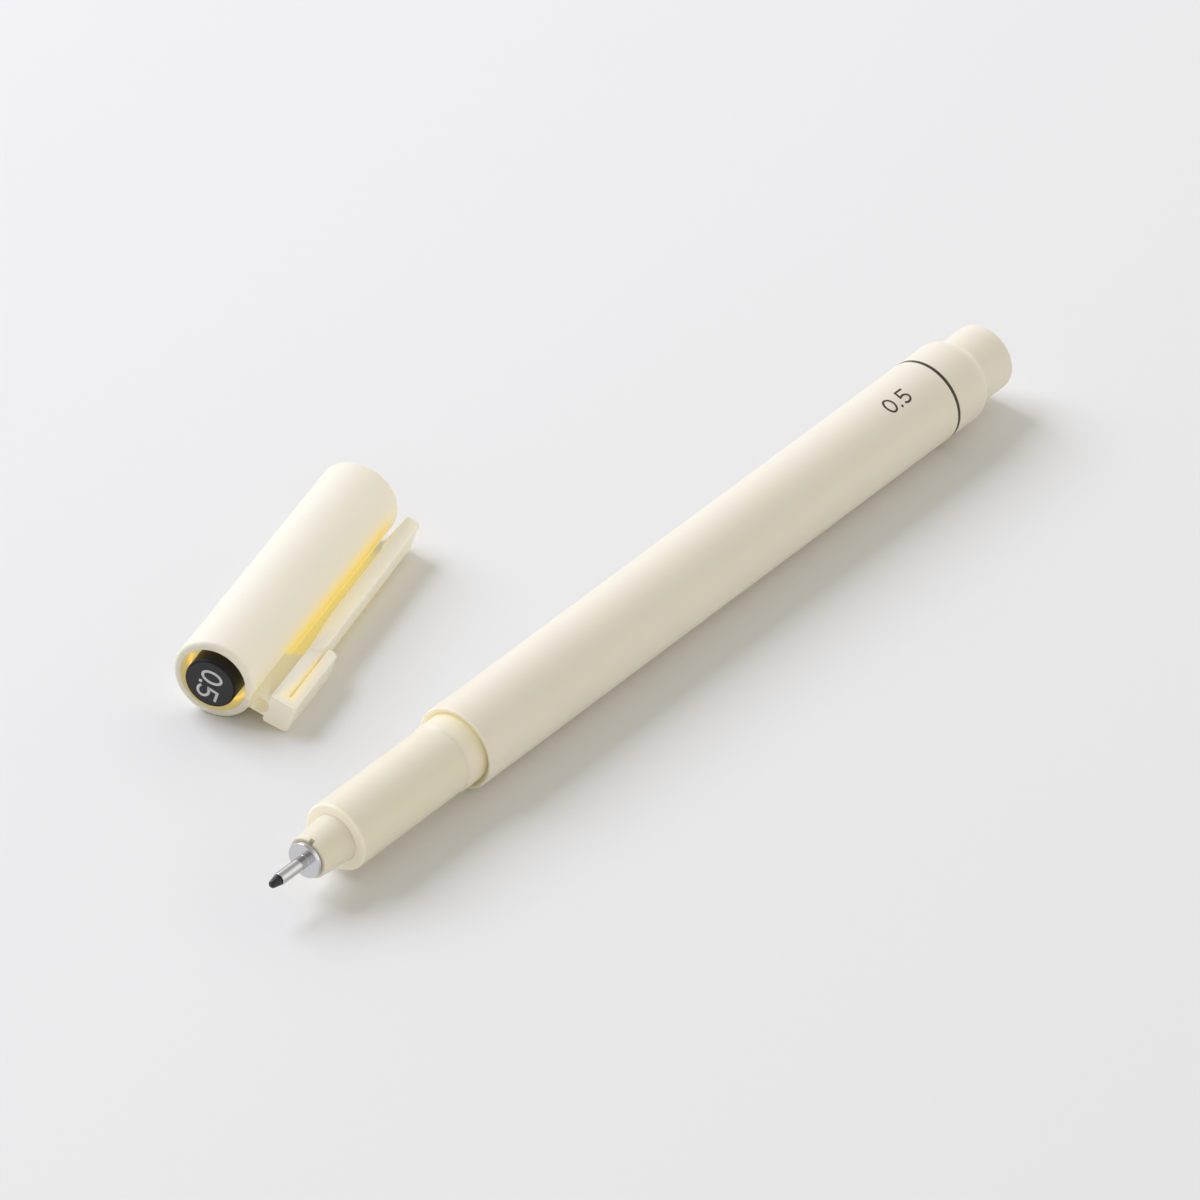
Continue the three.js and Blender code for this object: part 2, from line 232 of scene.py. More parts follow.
turning, turning_in, turning_out = new_tree(
    "Turned about its axis", {"Sides": "NodeSocketInt", "Finish": "NodeSocketMaterial"},
)
outline_size = add_node(
    turning, "GeometryNodeAttributeDomainSize", Geometry=turning_in.outputs["Outline"],
).outputs["Point Count"]
turning_sheet = add_node(
    turning, "GeometryNodeMeshGrid",
    Vertices_X=sums(turning, "ADD", turning_in.outputs["Sides"], 1), Vertices_Y=outline_size,
)
turning_index = add_node(turning, "GeometryNodeInputIndex").outputs[0]
outline_index = sums(turning, "MODULO", turning_index, outline_size)
side_index = sums(turning, "FLOOR", sums(turning, "DIVIDE", turning_index, outline_size))
outline_point = add_node(
    turning, "GeometryNodeSampleIndex", {"data_type": "FLOAT_VECTOR", "domain": "POINT"},
    Geometry=turning_in.outputs["Outline"], Value=add_node(turning, "GeometryNodeInputPosition").outputs[0],
    Index=outline_index,
)
outline_xyz = add_node(turning, "ShaderNodeSeparateXYZ", Vector=outline_point.outputs["Value"])
turning_angle = sums(
    turning, "MULTIPLY", sums(turning, "DIVIDE", side_index, turning_in.outputs["Sides"]), 2 * math.pi,
)
turned_point = add_node(
    turning, "ShaderNodeCombineXYZ", X=outline_xyz.outputs["X"],
    Y=sums(turning, "MULTIPLY", outline_xyz.outputs["Y"], sums(turning, "SINE", turning_angle)),
    Z=sums(turning, "MULTIPLY", outline_xyz.outputs["Y"], sums(turning, "COSINE", turning_angle)),
)
turned_sheet = add_node(
    turning, "GeometryNodeSetPosition", Geometry=turning_sheet.outputs["Mesh"],
    Position=turned_point.outputs["Vector"],
)
turned_shape = add_node(
    turning, "GeometryNodeMergeByDistance", Geometry=turned_sheet.outputs["Geometry"],
    Distance=SAME_POINT,
)
turned_real = add_node(turning, "GeometryNodeRealizeInstances", Geometry=turned_shape.outputs["Geometry"])
turned_finish = add_node(
    turning, "GeometryNodeSetMaterial", Geometry=turned_real.outputs["Geometry"],
    Material=turning_in.outputs["Finish"],
)
turning.links.new(turned_finish.outputs["Geometry"], turning_out.inputs["Piece"])


def rounded_outline(corners, steps=6):
    """Points of an outline given as (place, radius) or (place, radius, rounding) corners, in mm."""
    points = []
    for number, corner in enumerate(corners):
        here = Vector(corner[:2])
        rounding = corner[2] if len(corner) > 2 else 0
        if not rounding:
            points.append(here)
            continue
        back_way = (Vector(corners[number - 1][:2]) - here).normalized()
        next_way = (Vector(corners[(number + 1) % len(corners)][:2]) - here).normalized()
        half = back_way.angle(next_way) / 2
        reach = rounding / math.tan(half)
        centre = here + (back_way + next_way).normalized() * rounding / math.sin(half)
        first, last = here + back_way * reach, here + next_way * reach
        sweep = (first - centre).angle_signed(last - centre)
        points.append(first + back_way * rounding * 0.25)
        for step in range(steps + 1):
            points.append(centre + Matrix.Rotation(-sweep * step / steps, 2) @ (first - centre))
        points.append(last + next_way * rounding * 0.25)
    return points


def finished(name, mesh, place):
    """Object of a mesh set in its place, with its doubles merged and its faces pointing out."""
    work = bmesh.new()
    work.from_mesh(mesh)
    bmesh.ops.remove_doubles(work, verts=work.verts, dist=SAME_POINT)
    bmesh.ops.dissolve_degenerate(work, edges=work.edges, dist=1e-5)
    bmesh.ops.recalc_face_normals(work, faces=work.faces)
    for face in work.faces:
        face.smooth = True
    work.to_mesh(mesh)
    work.free()
    mesh.transform(place)
    mesh.set_sharp_from_angle(angle=SHARP_EDGE)
    mesh.name = name
    piece = bpy.data.objects.new(name, mesh)
    bpy.context.scene.collection.objects.link(piece)
    return piece


def plain_mesh(work):
    """Mesh of an object with its modifiers applied; the object itself is taken away."""
    depsgraph = bpy.context.evaluated_depsgraph_get()
    mesh = bpy.data.meshes.new_from_object(work.evaluated_get(depsgraph), depsgraph=depsgraph)
    bpy.data.objects.remove(work)
    return mesh


def loose(name, mesh):
    """Object of a mesh that is only there while a piece is being made."""
    work = bpy.data.objects.new(name, mesh)
    bpy.context.scene.collection.objects.link(work)
    return work


def turned_mesh(name, corners, material, sides=160, closed=True):
    """Mesh of an outline turned about the X axis."""
    points = rounded_outline(corners)
    if closed:
        points.append(points[0])
    outline = bpy.data.meshes.new(name + "_outline")
    outline.from_pydata([(x, y, 0) for x, y in points], [(i, i + 1) for i in range(len(points) - 1)], [])
    work = loose(name + "_work", outline)
    modifier = work.modifiers.new("turned", "NODES")
    modifier.node_group = turning
    set_input(modifier, "Sides", sides)
    set_input(modifier, "Finish", material)
    return plain_mesh(work)


NIB_START = 0.03
NIB_TIP_RADIUS = 0.4
NIB_HEAD_RADIUS = 0.64
NIB_HEAD_LENGTH = 1.31
NIB_ROD_RADIUS = 0.45
NIB_END = 20.67
fibre_ink, fibre_tree, fibre_shader = plain_material("nib_fibre", (0.018, 0.018, 0.021), 0.38)
fibre_streaks = object_noise(fibre_tree, 2600.0, Detail=4.0, Roughness=0.7)
fibre_colour = two_tone(fibre_tree, fibre_streaks, (0.006, 0.006, 0.007), (0.026, 0.026, 0.030))
fibre_tree.links.new(fibre_colour, fibre_shader.inputs["Base Color"])
add_bumps(fibre_tree, fibre_shader, fibre_streaks, strength=0.5, distance=0.00003)
nib = finished("felt_nib", turned_mesh("felt_nib", [
    (NIB_START, 0),
    (NIB_START, NIB_TIP_RADIUS, 0.37),
    (NIB_HEAD_LENGTH, NIB_HEAD_RADIUS, 0.06),
    (NIB_HEAD_LENGTH, NIB_ROD_RADIUS),
    (NIB_END, NIB_ROD_RADIUS),
    (NIB_END, 0),
], fibre_ink, sides=96, closed=False), pen_place)
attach(nib, "pen")
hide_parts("nib")


# Pipe: drawn steel tube crimped round the nib, with a turned flange that is pressed against the
# front of the nose. It is polished, with fine marks round it from the drawing and the turning.
PIPE_RADIUS = 0.75
PIPE_BORE = 0.5
PIPE_START = 1.36
FLANGE_FACE = 5.5
FLANGE_BACK = 6.06
FLANGE_RADIUS = 2.14
PIPE_END = 11.38


def vary_roughness(tree, shader, value, low, high):
    """Roughness that goes from low to high with a noise."""
    rough = add_node(tree, "ShaderNodeMapRange", Value=value, To_Min=low, To_Max=high)
    tree.links.new(rough.outputs["Result"], shader.inputs["Roughness"])


steel, steel_tree, steel_shader = plain_material("pipe_steel", (0.66, 0.665, 0.68), 0.12, Metallic=1.0)
steel_marks = object_noise(steel_tree, 1400.0, Detail=3.0)
vary_roughness(steel_tree, steel_shader, steel_marks, 0.09, 0.16)
pipe = finished("steel_pipe", turned_mesh("steel_pipe", [
    (PIPE_START, PIPE_BORE),
    (PIPE_START, PIPE_RADIUS, 0.07),
    (FLANGE_FACE, PIPE_RADIUS, 0.05),
    (FLANGE_FACE, FLANGE_RADIUS, 0.1),
    (FLANGE_BACK, FLANGE_RADIUS, 0.05),
    (FLANGE_BACK, PIPE_RADIUS),
    (PIPE_END, PIPE_RADIUS),
    (PIPE_END, PIPE_BORE),
], steel, sides=128), pen_place)
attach(pipe, "pen")
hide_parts("nib_pipe")


# Front section: one moulding in cream plastic, with the nose, the neck, the snap band that the cap
# clicks over, and the spigot pressed into the barrel. The nose has an air notch at its top.
# Colours of the painted light: a yellow tint and two emission colours that stand in for light coming through thin
# plastic.
PAINTED_GLOW_YELLOW = (0.93, 0.745, 0.14, 1)
CREAM_PAINTED_LIGHT = (0.90, 0.83, 0.69, 1)
YELLOW_PAINTED_LIGHT = (0.97, 0.80, 0.18, 1)


def cream_plastic(name, colour, roughness=0.42, lit=False):
    """Satin moulded plastic that lets a little light in, with a faint mottle and mould grain.

    A lit one is painted yellow and given painted light (an emission) where the piece's painted yellow and painted
    light values say; both stand in for light that comes through the thin plastic.
    """
    material, tree, shader = plain_material(
        name, colour, roughness, Subsurface_Weight=0.12, Subsurface_Scale=0.0012, Sheen_Weight=0.2,
    )
    shader.inputs["Subsurface Radius"].default_value = (1.0, 0.75, 0.4)
    mottle = object_noise(tree, 160.0, Detail=2.0)
    shade = add_node(tree, "ShaderNodeMapRange", Value=mottle, To_Min=0.985, To_Max=1.015)
    tinted = mixed_colour(tree, 1.0, (*colour, 1), shade.outputs["Result"], "MULTIPLY")
    # Painted light: a yellow tint in the base colour and an emission, in place of light that comes through the
    # plastic.
    if lit:
        painted_yellow = add_node(tree, "ShaderNodeAttribute", {"attribute_name": "painted_yellow"}).outputs["Fac"]
        painted_light = add_node(tree, "ShaderNodeAttribute", {"attribute_name": "painted_light"}).outputs["Fac"]
        tinted = mixed_colour(tree, painted_yellow, tinted, PAINTED_GLOW_YELLOW)
        light = mixed_colour(tree, painted_yellow, CREAM_PAINTED_LIGHT, YELLOW_PAINTED_LIGHT)
        tree.links.new(light, shader.inputs["Emission Color"])
        tree.links.new(painted_light, shader.inputs["Emission Strength"])
    tree.links.new(tinted, shader.inputs["Base Color"])
    vary_roughness(tree, shader, mottle, roughness - 0.03, roughness + 0.04)
    grain = object_noise(tree, 6000.0, Detail=2.0)
    add_bumps(tree, shader, grain, strength=0.10, distance=0.00001)
    return material


def box_mesh(name, low, high):
    """Closed box between two corners, in mm."""
    mesh = bpy.data.meshes.new(name)
    work = bmesh.new()
    bmesh.ops.create_cube(work, size=1)
    size = Vector(high) - Vector(low)
    middle = (Vector(high) + Vector(low)) / 2
    for vert in work.verts:
        vert.co = Vector(a * b for a, b in zip(vert.co, size)) + middle
    work.to_mesh(mesh)
    work.free()
    return mesh


def joined(name, base, others):
    """Mesh of a base mesh with others joined to it or cut from it: pairs of mesh and operation."""
    for mesh in (base, *(mesh for mesh, operation in others)):
        work = bmesh.new()
        work.from_mesh(mesh)
        bmesh.ops.remove_doubles(work, verts=work.verts, dist=SAME_POINT)
        bmesh.ops.recalc_face_normals(work, faces=work.faces)
        work.to_mesh(mesh)
        work.free()
    body = loose(name + "_body", base)
    helpers = []
    for number, (mesh, operation) in enumerate(others):
        helper = loose(f"{name}_tool{number}", mesh)
        helpers.append(helper)
        modifier = body.modifiers.new(f"tool{number}", "BOOLEAN")
        modifier.operation = operation
        modifier.solver = "EXACT"
        modifier.object = helper
    mesh = plain_mesh(body)
    for helper in helpers:
        bpy.data.objects.remove(helper)
    return mesh


def smooth_step(low, high, value):
    """0 below low, 1 above high, and an even curve between."""
    share = min(1.0, max(0.0, (value - low) / (high - low)))
    return share * share * (3 - 2 * share)


def fading(low, high, value):
    """1 below low, 0 above high, and an even curve between."""
    return 1 - smooth_step(low, high, value)


def paint_glow(piece, place, rule):
    """Writes the painted yellow and the painted light at each point of a piece, which stand in for light that
    comes through it.
    """
    back = place.inverted()
    painted_yellow = piece.data.attributes.new("painted_yellow", "FLOAT", "POINT")
    painted_light = piece.data.attributes.new("painted_light", "FLOAT", "POINT")
    for vertex, yellow, light in zip(piece.data.vertices, painted_yellow.data, painted_light.data):
        yellow.value, light.value = rule(back @ vertex.co)


# Painted light is made stronger on the side of a piece that faces the window, by this measure.
WINDOW_SIDEWAYS = 0.74
WINDOW_UP = 0.67


def facing_window(point):
    """1 on the side of the pen that faces the window, and -1 on the far side."""
    return (WINDOW_SIDEWAYS * point.y + WINDOW_UP * point.z) / max(math.hypot(point.y, point.z), 0.1)


NOSE_FACE = 6.15
NOSE_FRONT_RADIUS = 2.48
NOSE_REAR_RADIUS = 2.84
NECK_FACE = 10.77
RAMP_START = 28.32
BAND_START = 28.95
BARREL_FACE = 31.22
SPIGOT_END = 43.22
NECK_RADIUS = 4.11
BAND_RADIUS = 4.24
BARREL_BORE = 4.29
SLIP_FIT = 0.005
CHAMBER_RADIUS = 3.26
CHAMBER_START = 13.37
VENT_FLOOR = 1.78
VENT_TOP = 3.6
VENT_WIDTH = 0.6
VENT_LENGTH = 0.5
VENT_TURN = math.radians(12)
section_plastic = cream_plastic("section_plastic", (0.80, 0.745, 0.585), lit=True)
section_body = turned_mesh("section", [
    (NOSE_FACE, PIPE_RADIUS + 0.05),
    (NOSE_FACE, NOSE_FRONT_RADIUS, 0.16),
    (NECK_FACE, NOSE_REAR_RADIUS, 0.12),
    (NECK_FACE, NECK_RADIUS, 0.3),
    (RAMP_START - 0.1, NECK_RADIUS, 0.04),
    (RAMP_START + 0.05, NECK_RADIUS - 0.035, 0.04),
    (BAND_START - 0.15, BAND_RADIUS, 0.3),
    (BARREL_FACE + 0.1, BAND_RADIUS, 0.1),
    (BARREL_FACE + 0.3, BARREL_BORE - SLIP_FIT),
    (SPIGOT_END, BARREL_BORE - SLIP_FIT, 0.35),
    (SPIGOT_END, CHAMBER_RADIUS),
    (CHAMBER_START, CHAMBER_RADIUS),
    (CHAMBER_START, PIPE_RADIUS + 0.05),
], section_plastic)
vent_notch = box_mesh(
    "vent",
    (NOSE_FACE - 1, -VENT_WIDTH / 2, VENT_FLOOR), (NOSE_FACE + VENT_LENGTH, VENT_WIDTH / 2, VENT_TOP),
)
vent_notch.transform(Matrix.Rotation(VENT_TURN, 4, "X"))
vent_notch.materials.append(section_plastic)
section = finished(
    "front_section_moulding", joined("section", section_body, [(vent_notch, "DIFFERENCE")]), pen_place,
)

# Painted light in the neck's rim and band, and painted yellow in the band where the barrel covers it, stronger on
# the window side.
NECK_RIM_LIGHT = 0.18
NECK_RIM_SIDE_LIGHT = 0.06
BAND_LIGHT = 0.04
BAND_GAP_LIGHT = 0.05
BAND_GAP_SIDE_LIGHT = 0.09
BAND_GAP_PAINTED_YELLOW = 0.25
# A point this close to a surface, in mm, lies on it.
TOUCH = 0.01


def neck_painted_light(point):
    """Painted light in the neck's front face and rim and in its band, and painted yellow in the band, most where
    the barrel covers it.
    """
    radius = math.hypot(point.y, point.z)
    facing = facing_window(point)
    if BAND_START - 0.4 < point.x < BARREL_FACE + 0.6 and radius > NECK_RADIUS:
        covered = smooth_step(BARREL_FACE - 0.1, BARREL_FACE + 0.2, point.x)
        light = BAND_LIGHT + (BAND_GAP_LIGHT + BAND_GAP_SIDE_LIGHT * facing) * covered
        return BAND_GAP_PAINTED_YELLOW * covered, light
    if point.x < NECK_FACE - TOUCH or point.x > NECK_FACE + 0.5:
        return 0.0, 0.0
    outside = smooth_step(NOSE_REAR_RADIUS, NOSE_REAR_RADIUS + 0.15, radius)
    rim = fading(NECK_FACE + 0.1, NECK_FACE + 0.34, point.x)
    return 0.0, (NECK_RIM_LIGHT + NECK_RIM_SIDE_LIGHT * facing) * outside * rim


paint_glow(section, pen_place, neck_painted_light)
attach(section, "pen")
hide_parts("front_section")


# Barrel: a long moulded tube, a little wider at the tail. Six ribs along its bore hold the ink
# reservoir. A dark line is printed round its tail end, and a plain number for the line width.
BARREL_END = 117.45
BARREL_FRONT_RADIUS = 5.04
BARREL_REAR_RADIUS = 5.2
MOUTH_RADIUS = 4.72
MOUTH_DEPTH = 0.35
RING_WIDTH = 0.45
RIB_COUNT = 6
RIB_START = 46.22
RIB_END = 106.45
RIB_INNER = 3.15
RIB_OUTER = 4.665
RIB_WIDTH = 0.7
barrel_plastic = cream_plastic("barrel_plastic", (0.81, 0.76, 0.62), lit=True)
print_ink, ink_tree, ink_shader = plain_material("print_ink", (0.055, 0.040, 0.022), 0.5)
ink_wear = object_noise(ink_tree, 1800.0, Detail=3.0)
ink_colour = two_tone(ink_tree, ink_wear, (0.026, 0.018, 0.009), (0.055, 0.040, 0.024))
ink_tree.links.new(ink_colour, ink_shader.inputs["Base Color"])

spinning, spinning_in, spinning_out = new_tree("Bars round an axis", {
    "Count": "NodeSocketInt", "First Turn": "NodeSocketFloat", "Finish": "NodeSocketMaterial",
})
spin_line = add_node(
    spinning, "GeometryNodeMeshLine", Count=spinning_in.outputs["Count"], Offset=(0, 0, 0),
)
spin_step = sums(spinning, "DIVIDE", 2 * math.pi, spinning_in.outputs["Count"])
spin_turn = sums(
    spinning, "ADD", spinning_in.outputs["First Turn"],
    sums(spinning, "MULTIPLY", add_node(spinning, "GeometryNodeInputIndex").outputs[0], spin_step),
)
spin_euler = add_node(spinning, "ShaderNodeCombineXYZ", X=spin_turn, Y=0.0, Z=0.0)
spin_copies = add_node(
    spinning, "GeometryNodeInstanceOnPoints", Points=spin_line.outputs["Mesh"],
    Instance=spinning_in.outputs["Outline"], Rotation=spin_euler.outputs["Vector"],
)
spin_real = add_node(spinning, "GeometryNodeRealizeInstances", Geometry=spin_copies.outputs["Instances"])
spin_finish = add_node(
    spinning, "GeometryNodeSetMaterial", Geometry=spin_real.outputs["Geometry"],
    Material=spinning_in.outputs["Finish"],
)
spinning.links.new(spin_finish.outputs["Geometry"], spinning_out.inputs["Piece"])


def bars_round_axis(name, start, end, inner, outer, width, count, material, first_turn=0.0):
    """Mesh of straight bars set evenly round the X axis."""
    work = loose(name, box_mesh(name, (start, -width / 2, inner), (end, width / 2, outer)))
    modifier = work.modifiers.new("bars", "NODES")
    modifier.node_group = spinning
    set_input(modifier, "Count", count)
    set_input(modifier, "First Turn", first_turn)
    set_input(modifier, "Finish", material)
    return plain_mesh(work)


barrel_tube = turned_mesh("barrel", [
    (BARREL_FACE, MOUTH_RADIUS),
    (BARREL_FACE, BARREL_FRONT_RADIUS, 0.18),
    (BARREL_END - RING_WIDTH, BARREL_REAR_RADIUS),
    (BARREL_END, BARREL_REAR_RADIUS),
    (BARREL_END, BARREL_BORE),
    (BARREL_FACE + MOUTH_DEPTH, BARREL_BORE),
], barrel_plastic)
barrel_ribs = bars_round_axis(
    "ribs", RIB_START, RIB_END, RIB_INNER, RIB_OUTER, RIB_WIDTH, RIB_COUNT, barrel_plastic,
)
barrel = finished("barrel_tube", joined("barrel", barrel_tube, [(barrel_ribs, "UNION")]), pen_place)


def paint_faces(piece, place, material, chosen):
    """Gives one more material to the faces of a piece whose middles are chosen, in mm."""
    piece.data.materials.append(material)
    back = place.inverted()
    for face in piece.data.polygons:
        if chosen(back @ face.center):
            face.material_index = len(piece.data.materials) - 1


def in_ring(point):
    """Whether a point lies on the printed ring."""
    radius = math.hypot(point.y, point.z)
    return point.x > BARREL_END - RING_WIDTH + TOUCH and radius > BARREL_REAR_RADIUS - 0.1


paint_faces(barrel, pen_place, print_ink, in_ring)

# Painted yellow and painted light in the barrel's mouth and front face: yellower deeper in the mouth, and lighter
# on the window side.
MOUTH_PAINTED_YELLOW = 0.05
MOUTH_DEEP_PAINTED_YELLOW = 0.2
MOUTH_LIGHT = 0.09
MOUTH_SIDE_LIGHT = 0.11
BARREL_RIM_LIGHT = 0.12
BARREL_RIM_SIDE_LIGHT = 0.06


def mouth_painted_light(point):
    """Painted light in the barrel's front face, and painted yellow and painted light in the cone of its mouth."""
    if point.x > BARREL_FACE + MOUTH_DEPTH + 0.1:
        return 0.0, 0.0
    facing = facing_window(point)
    if math.hypot(point.y, point.z) < MOUTH_RADIUS + TOUCH:
        deep = smooth_step(BARREL_FACE, BARREL_FACE + MOUTH_DEPTH, point.x)
        return MOUTH_PAINTED_YELLOW + MOUTH_DEEP_PAINTED_YELLOW * deep, max(0.0, MOUTH_LIGHT + MOUTH_SIDE_LIGHT * facing)
    rim = fading(BARREL_FACE + 0.05, BARREL_FACE + 0.2, point.x)
    return 0.0, (BARREL_RIM_LIGHT + BARREL_RIM_SIDE_LIGHT * facing) * rim


paint_glow(barrel, pen_place, mouth_painted_light)
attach(barrel, "pen")
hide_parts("barrel")


def arc(centre, radii, start, end, steps):
    """Points of an elliptical arc, with the angles in degrees from the reading direction."""
    return [
        Vector((
            centre[0] + radii[0] * math.cos(math.radians(start + (end - start) * i / steps)),
            centre[1] + radii[1] * math.sin(math.radians(start + (end - start) * i / steps)),
        ))
        for i in range(steps + 1)
    ]


def fine_line(points, step=0.12):
    """The same line with no part longer than a step, so that it can be bent onto a surface."""
    fine = [points[0]]
    for a, b in zip(points, points[1:]):
        count = max(1, math.ceil((b - a).length / step))
        fine += [a.lerp(b, i / count) for i in range(1, count + 1)]
    return fine


INK_TOP = 0.010
INK_BOTTOM = -0.03
LEAST_MITRE = 0.35


def ribbon(work, points, width, closed, laid):
    """Adds a printed line as a closed strip; laid puts (across, up, height) onto the surface."""
    count = len(points)
    rows = []
    for i, here in enumerate(points):
        before = points[i - 1] if closed or i else None
        after = points[(i + 1) % count] if closed or i < count - 1 else None
        ways = [(here - before).normalized()] if before else []
        ways += [(after - here).normalized()] if after else []
        way = sum(ways, Vector((0, 0))).normalized()
        side = Vector((-way.y, way.x)) * width / 2 / max(LEAST_MITRE, way.dot(ways[0]))
        rows.append([
            work.verts.new(laid(*(here + side * s), height))
            for s, height in ((-1, INK_TOP), (1, INK_TOP), (1, INK_BOTTOM), (-1, INK_BOTTOM))
        ])
    for i in range(count if closed else count - 1):
        a, b = rows[i], rows[(i + 1) % count]
        for k in range(4):
            work.faces.new((a[k], a[(k + 1) % 4], b[(k + 1) % 4], b[k]))
    if not closed:
        work.faces.new(rows[0])
        work.faces.new(reversed(rows[-1]))


DOT_TO_STROKE = 1.15
BOWL_TO_HEIGHT = 0.315


def number_piece(name, laid, material, height, digit_width, gap, stroke):
    """Mesh of the plain number 0.5 in an even stroke. Its origin is the middle of the number."""
    half_stroke = stroke / 2
    radii = (digit_width / 2 - half_stroke, height / 2 - half_stroke)
    dot = stroke * DOT_TO_STROKE
    length = 2 * digit_width + 2 * gap + dot
    left = -length / 2
    work = bmesh.new()
    nought = arc((left + digit_width / 2, 0), radii, 0, 360, 72)[:-1]
    ribbon(work, nought, stroke, True, laid)
    dot_x = left + digit_width + gap + dot / 2
    dot_y = -height / 2 + dot / 2
    ribbon(work, [Vector((dot_x, dot_y - dot / 2)), Vector((dot_x, dot_y + dot / 2))], dot, False, laid)
    # The top bar, the stem and the bowl of the five are shares of the digit's width.
    five = left + digit_width + 2 * gap + dot
    top = height / 2 - half_stroke
    bowl_radius = height * BOWL_TO_HEIGHT - half_stroke
    bowl = (five + digit_width * 0.46, -height / 2 + half_stroke + bowl_radius)
    shoulder = bowl[1] + bowl_radius * 0.82
    five_line = [
        Vector((five + digit_width * 0.92, top)),
        Vector((five + digit_width * 0.20, top)),
        Vector((five + digit_width * 0.14, shoulder)),
    ] + arc(bowl, (digit_width * 0.46 - half_stroke + digit_width * 0.04, bowl_radius), 118, -142, 40)
    ribbon(work, fine_line(five_line), stroke, False, laid)
    mesh = bpy.data.meshes.new(name)
    work.to_mesh(mesh)
    work.free()
    mesh.materials.append(material)
    return mesh


NUMBER_PLACE = 109.6
NUMBER_TURN = math.radians(70.5)


def on_barrel(across, up, height):
    """Point on the barrel: across runs along it to the tail, up runs round it to the far side."""
    place = NUMBER_PLACE + across
    share = (place - BARREL_FACE) / (BARREL_END - BARREL_FACE)
    radius = BARREL_FRONT_RADIUS + (BARREL_REAR_RADIUS - BARREL_FRONT_RADIUS) * share
    turn = NUMBER_TURN + up / radius
    return Vector((place, -math.cos(turn) * (radius + height), math.sin(turn) * (radius + height)))


barrel_number_mesh = number_piece(
    "barrel_number", on_barrel, print_ink, height=2.1, digit_width=1.62, gap=0.325, stroke=0.27,
)
barrel_number = finished("barrel_number", barrel_number_mesh, pen_place)
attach(barrel_number, "pen")


# Tail plug: a moulding pressed into the back of the barrel. Its collar is flush with the barrel,
# and the cap is pushed onto its stud while writing. Four ribs inside stop the reservoir.
SHOULDER_START = 122.92
STUD_START = 123.97
STUD_RADIUS = 4.22
TAIL_BORE = 3.34
TAIL_WALL = 1.2
TAIL_SPIGOT_START = 109.45
TAIL_RIB_COUNT = 4
TAIL_RIB_START = 110.05
TAIL_RIB_INNER = 1.1
TAIL_RIB_OUTER = 3.8
TAIL_RIB_WIDTH = 0.8
tail_plastic = cream_plastic("tail_plastic", (0.81, 0.76, 0.62))
tail_shell = turned_mesh("tail", [
    (TAIL_SPIGOT_START, TAIL_BORE),
    (TAIL_SPIGOT_START, BAND_RADIUS, 0.35),
    (BARREL_END + 0.05, BAND_RADIUS),
    (BARREL_END + 0.05, BARREL_REAR_RADIUS, 0.06),
    (SHOULDER_START - 0.3, BARREL_REAR_RADIUS, 2.0),
    (STUD_START, STUD_RADIUS, 0.35),
    (PEN_LENGTH, STUD_RADIUS, 0.35),
    (PEN_LENGTH, 0),
    (PEN_LENGTH - TAIL_WALL, 0),
    (PEN_LENGTH - TAIL_WALL, TAIL_BORE),
], tail_plastic)
tail_ribs = bars_round_axis(
    "tail_ribs", TAIL_RIB_START, PEN_LENGTH - TAIL_WALL / 2, TAIL_RIB_INNER, TAIL_RIB_OUTER,
    TAIL_RIB_WIDTH, TAIL_RIB_COUNT, tail_plastic,
)
tail = finished("tail_plug_moulding", joined("tail", tail_shell, [(tail_ribs, "UNION")]), pen_place)
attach(tail, "pen")
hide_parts("tail_plug")


# Ink reservoir: a bundle of polyester fibres soaked in ink, wrapped in a clear film. It is sealed
# inside the barrel, between the front section and the tail plug's ribs.
core_fibre, core_tree, core_shader = plain_material("reservoir_fibre", (0.03, 0.03, 0.04), 0.95)
core_strands = object_noise(core_tree, 900.0, Detail=5.0)
add_bumps(core_tree, core_shader, core_strands, strength=0.8, distance=0.0001)
clear_film, film_tree, film_shader = plain_material(
    "reservoir_film", (0.86, 0.88, 0.9), 0.12, Transmission_Weight=0.6,
)
film_wrinkles = object_noise(film_tree, 300.0, Detail=2.0)
add_bumps(film_tree, film_shader, film_wrinkles, strength=0.3, distance=0.00005)
for hidden_node, finish in (("reservoir_core", core_fibre), ("reservoir_film", clear_film)):
    frame["nodes"][hidden_node].data.materials.clear()
    frame["nodes"][hidden_node].data.materials.append(finish)


# Cap: one moulding in thin cream plastic, painted yellow and given painted light where light would
# come through it. It has the tube, the collar on three spokes that holds the black plug, and the
# stiff root of the clip.
joints = {joint["name"]: joint for joint in frame["joints"]}
clip_hang = math.asin(joints["clip_flex"]["axis"][1])
PLUG_PROUD = 0.8
cap_place = Matrix.Translation(plug_face + Vector((PLUG_PROUD * MM, 0, 0))) @ Matrix.Scale(MM, 4)
clip_swing = Matrix.Rotation(math.radians(90) + clip_hang, 4, "X")
CAP_RADIUS = 4.94
CAP_LENGTH = 38.46
CAP_BORE = 4.29
STATION_START = 1
STATION_STEP = 0.75
STATION_COUNT = 49
LIP_RADIUS = 3.96
LIP_DEPTH = 5.5
COLLAR_START = 2.0
COLLAR_END = 5.0
COLLAR_WALL = 0.5
PLUG_RADIUS = 3.06
SPOKE_COUNT = 3
SPOKE_INNER = 3.34
SPOKE_OUTER = 4.5
SPOKE_WIDTH = 0.9
CLIP_WIDTH = 3.75
CLIP_REACH = 9.77
CLIP_UNDERSIDE = 6.65
CLIP_TOP = 8.22
CLIP_SLIT = 0.36
CLIP_START = 0.35
SLIT_START = 1.6
CLIP_JOIN = 9.9
TAB_END = 11.7
WEB_WIDTH = 2.4
WEB_SHELL_END = 8.3
WEB_BAR_END = 10.4
WEB_ROOT = CAP_RADIUS - 0.3
WEB_TOP = CLIP_UNDERSIDE + 0.8
